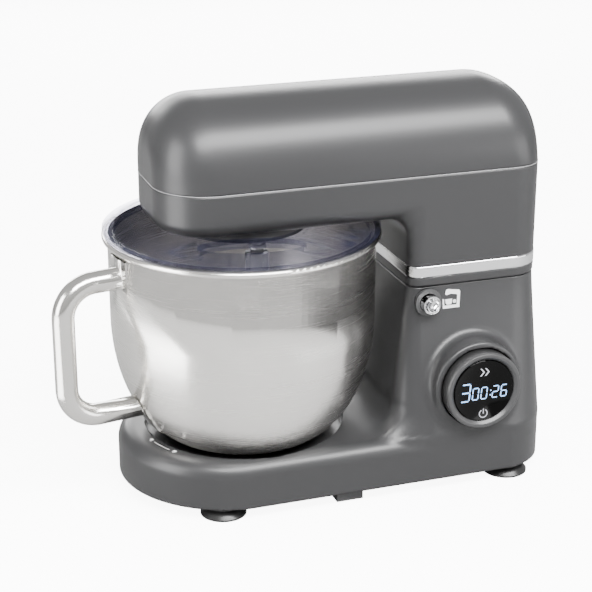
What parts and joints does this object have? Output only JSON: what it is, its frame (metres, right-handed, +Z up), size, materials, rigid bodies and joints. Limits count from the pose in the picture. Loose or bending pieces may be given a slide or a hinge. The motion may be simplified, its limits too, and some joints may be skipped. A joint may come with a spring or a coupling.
{
  "type": "stand mixer",
  "caption": "Tilt-head stand mixer with planetary drive, steel bowl with a side handle, clear lid with a chute, and a display knob.",
  "frame": {"origin": "middle of the bounding box's bottom, on the surface the feet rest on", "axes": "+Z up, -X towards the nose and the bowl's handle, -Y towards the control side"},
  "size_m": [0.435, 0.24, 0.3495],
  "materials": {
    "satin_grey": "satin dark grey paint",
    "chrome": "mirror chrome",
    "bowl_steel": "brushed stainless steel",
    "polished_steel": "polished stainless steel",
    "clear_lid": "clear moulded plastic",
    "black_gloss": "glossy black",
    "grey_plastic": "matte dark grey plastic",
    "rubber": "black rubber",
    "cast_aluminium": "cast aluminium",
    "steel": "ground steel",
    "gear_plastic": "natural nylon",
    "brass": "sintered bronze",
    "copper": "enamelled copper winding and laminations",
    "board": "green circuit board"
  },
  "bodies": {
    "stand": {"base_housing": "satin_grey", "bottom_cover": "grey_plastic", "bottom_screws": "steel", "bowl_seat_ring": "steel", "button_sleeve": "grey_plastic", "button_spring": "steel", "cord_gland": "rubber", "display_board": "board", "display_holder": "grey_plastic", "display_lens": "black_gloss", "encoder": "grey_plastic", "hinge_bracket": "steel", "hinge_pin": "steel", "latch_bracket": "steel", "power_board": "board", "side_rests": "grey_plastic", "suction_foot_front_left": "rubber", "suction_foot_front_right": "rubber", "suction_foot_rear_left": "rubber", "suction_foot_rear_right": "rubber", "tower_deck": "grey_plastic"},
    "release": {"release_button": "chrome", "latch_slide": "steel"},
    "knob": {"knob_ring": "grey_plastic"},
    "head": {"head_upper_cover": "satin_grey", "head_lower_casing": "satin_grey", "chrome_band": "chrome", "neck_ring": "satin_grey", "head_hinge_leaf": "steel", "latch_striker": "steel", "hub_skirt": "grey_plastic", "ring_gear": "steel", "gearbox_chassis": "cast_aluminium", "carrier_bush": "brass", "gearbox_bridge": "cast_aluminium", "drive_belt": "rubber", "motor_stator": "copper", "motor_bracket": "cast_aluminium", "motor_mount": "grey_plastic", "brush_holders": "brass", "chassis_screws": "steel", "lid": "clear_lid"},
    "motor": {"motor_rotor": "copper", "cooling_fan": "gear_plastic", "motor_pulley": "cast_aluminium"},
    "pulley_set": {"large_pulley": "cast_aluminium", "pulley_pinion": "steel", "pulley_shaft": "steel"},
    "intermediate": {"intermediate_gear": "gear_plastic", "intermediate_pinion": "steel", "intermediate_shaft": "steel"},
    "carrier": {"planet_carrier": "cast_aluminium", "carrier_gear": "gear_plastic"},
    "tool": {"planet_gear": "steel", "tool_shaft": "steel", "drive_pin": "steel", "flat_beater": "cast_aluminium"},
    "bowl": {"bowl_shell": "bowl_steel", "bowl_foot_ring": "polished_steel", "bowl_handle": "polished_steel"}
  },
  "joints": [
    {"name": "head_tilt", "type": "hinge", "parent": "stand", "child": "head", "pos_m": [0.21149, 0, 0.1805], "axis": [0, 1, 0], "range_deg": [0, 30]},
    {"name": "bowl_twist", "type": "hinge", "parent": "stand", "child": "bowl", "pos_m": [-0.04451, 0, 0.06], "axis": [0, 0, 1], "range_deg": [-35, 0]},
    {"name": "release_press", "type": "slide", "parent": "stand", "child": "release", "axis": [0, 1, 0], "range_m": [0, 0.005], "stiffness_N_per_m": 900, "springref_m": -0.002, "deforming": ["button_spring"]},
    {"name": "speed_knob_turn", "type": "hinge", "parent": "stand", "child": "knob", "pos_m": [0.13949, -0.1, 0.0945], "axis": [0, -1, 0], "continuous": true},
    {"name": "carrier_turn", "type": "hinge", "parent": "head", "child": "carrier", "pos_m": [-0.04451, 0, 0.25], "axis": [0, 0, 1], "continuous": true},
    {"name": "tool_turn", "type": "hinge", "parent": "carrier", "child": "tool", "pos_m": [-0.04034, -0.02971, 0.23], "axis": [0, 0, 1], "continuous": true},
    {"name": "intermediate_turn", "type": "hinge", "parent": "head", "child": "intermediate", "pos_m": [0.01549, 0, 0.27], "axis": [0, 0, 1], "continuous": true},
    {"name": "pulley_turn", "type": "hinge", "parent": "head", "child": "pulley_set", "pos_m": [0.05949, 0, 0.28], "axis": [0, 0, 1], "continuous": true},
    {"name": "motor_turn", "type": "hinge", "parent": "head", "child": "motor", "pos_m": [0.14249, 0, 0.25], "axis": [0, 0, 1], "continuous": true}
  ],
  "couplings": [
    {"joint": "tool_turn", "follows": "carrier_turn", "ratio": -2.6667},
    {"joint": "intermediate_turn", "follows": "carrier_turn", "ratio": -4},
    {"joint": "pulley_turn", "follows": "carrier_turn", "ratio": 18},
    {"joint": "motor_turn", "follows": "carrier_turn", "ratio": 78.75}
  ]
}
